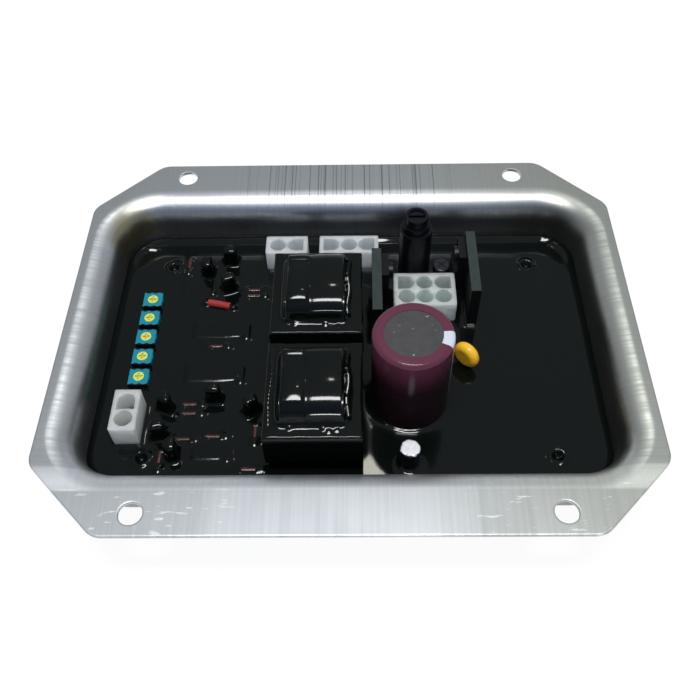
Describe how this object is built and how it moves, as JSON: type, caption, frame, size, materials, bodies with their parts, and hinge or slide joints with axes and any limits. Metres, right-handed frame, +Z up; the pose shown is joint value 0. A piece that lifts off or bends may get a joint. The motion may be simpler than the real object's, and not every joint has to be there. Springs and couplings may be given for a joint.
{
  "type": "automatic voltage regulator",
  "caption": "Generator voltage regulator: a circuit board potted in black resin inside a drawn metal tray with a flange, with connectors, transformers, a capacitor and trimmers.",
  "frame": {"origin": "centre of the tray's underside", "axes": "+Z up, out of the resin; +X along the tray, from the trimmers towards the capacitor; +Y towards the rear connectors and the fuse holder"},
  "size_m": [0.189, 0.153, 0.05],
  "materials": {
    "tray_metal": "mill finish, fine drawing streaks",
    "resin": "glossy black casting resin",
    "board": "satin laminate",
    "brass": "plain",
    "screw_steel": "plated",
    "trimmer_blue": "moulded",
    "rotor_yellow": "moulded",
    "tinned_wire": "tinned",
    "nylon": "moulded, off-white",
    "contact_metal": "tinned",
    "core_sheet": "varnished stacked sheet",
    "bobbin_plastic": "moulded, resin covered",
    "winding": "taped and resin covered",
    "can_metal": "drawn",
    "sleeve": "shrunk film",
    "top_disc": "satin",
    "holder_black": "moulded",
    "fuse_glass": "clear",
    "plate_dark": "dark, bare along the top edge",
    "device_black": "moulded",
    "varistor_amber": "dipped coat",
    "small_can": "shrunk film",
    "resistor_body": "dipped coat",
    "axial_red": "dipped coat"
  },
  "bodies": {
    "regulator": {"tray": "tray_metal", "potting": "resin", "circuit_board": "board", "board_standoffs": "brass", "fuse_contact": "brass", "board_screws": "screw_steel", "heat_sink_screws": "screw_steel", "trimmer_1_body": "trimmer_blue", "trimmer_2_body": "trimmer_blue", "trimmer_3_body": "trimmer_blue", "trimmer_4_body": "trimmer_blue", "trimmer_5_body": "trimmer_blue", "trimmer_legs": "tinned_wire", "rear_transformer_pins": "tinned_wire", "front_transformer_pins": "tinned_wire", "capacitor_terminals": "tinned_wire", "power_device_leads": "tinned_wire", "varistor_leads": "tinned_wire", "small_part_leads": "tinned_wire", "front_connector_housing": "nylon", "front_connector_pins": "contact_metal", "rear_connector_housing": "nylon", "rear_connector_pins": "contact_metal", "sensing_connector_housing": "nylon", "sensing_connector_pins": "contact_metal", "power_connector_housing": "nylon", "power_connector_pins": "contact_metal", "rear_transformer_core": "core_sheet", "rear_transformer_bobbin": "bobbin_plastic", "rear_transformer_primary": "winding", "rear_transformer_secondary": "winding", "front_transformer_core": "core_sheet", "front_transformer_bobbin": "bobbin_plastic", "front_transformer_primary": "winding", "front_transformer_secondary": "winding", "capacitor_can": "can_metal", "fuse_end_caps": "can_metal", "capacitor_sleeve": "sleeve", "capacitor_top_disc": "top_disc", "fuse_holder_body": "holder_black", "fuse_tube": "fuse_glass", "left_heat_sink": "plate_dark", "right_heat_sink": "plate_dark", "left_power_device": "device_black", "right_power_device": "device_black", "transistors": "device_black", "integrated_circuits": "device_black", "resistor_row": "device_black", "varistor": "varistor_amber", "small_capacitors": "small_can", "resistors": "resistor_body", "axial_capacitor": "axial_red"},
    "trimmer_1": {"trimmer_1_rotor": "rotor_yellow"},
    "trimmer_2": {"trimmer_2_rotor": "rotor_yellow"},
    "trimmer_3": {"trimmer_3_rotor": "rotor_yellow"},
    "trimmer_4": {"trimmer_4_rotor": "rotor_yellow"},
    "trimmer_5": {"trimmer_5_rotor": "rotor_yellow"},
    "fuse_cap": {"fuse_holder_cap": "holder_black"}
  },
  "joints": [
    {"name": "trimmer_1_turn", "type": "hinge", "parent": "regulator", "child": "trimmer_1", "pos_m": [-0.0705, 0.02, 0.0172], "axis": [0, 0, 1], "range_deg": [-130, 130]},
    {"name": "trimmer_2_turn", "type": "hinge", "parent": "regulator", "child": "trimmer_2", "pos_m": [-0.0705, 0.0116, 0.0172], "axis": [0, 0, 1], "range_deg": [-130, 130]},
    {"name": "trimmer_3_turn", "type": "hinge", "parent": "regulator", "child": "trimmer_3", "pos_m": [-0.0705, 0.0032, 0.0172], "axis": [0, 0, 1], "range_deg": [-130, 130]},
    {"name": "trimmer_4_turn", "type": "hinge", "parent": "regulator", "child": "trimmer_4", "pos_m": [-0.0705, -0.0052, 0.0172], "axis": [0, 0, 1], "range_deg": [-130, 130]},
    {"name": "trimmer_5_turn", "type": "hinge", "parent": "regulator", "child": "trimmer_5", "pos_m": [-0.0705, -0.0136, 0.0172], "axis": [0, 0, 1], "range_deg": [-130, 130]},
    {"name": "fuse_cap_turn", "type": "hinge", "parent": "regulator", "child": "fuse_cap", "pos_m": [0.0234, 0.0339, 0.038], "axis": [0, 0, 1], "range_deg": [0, 45]}
  ]
}
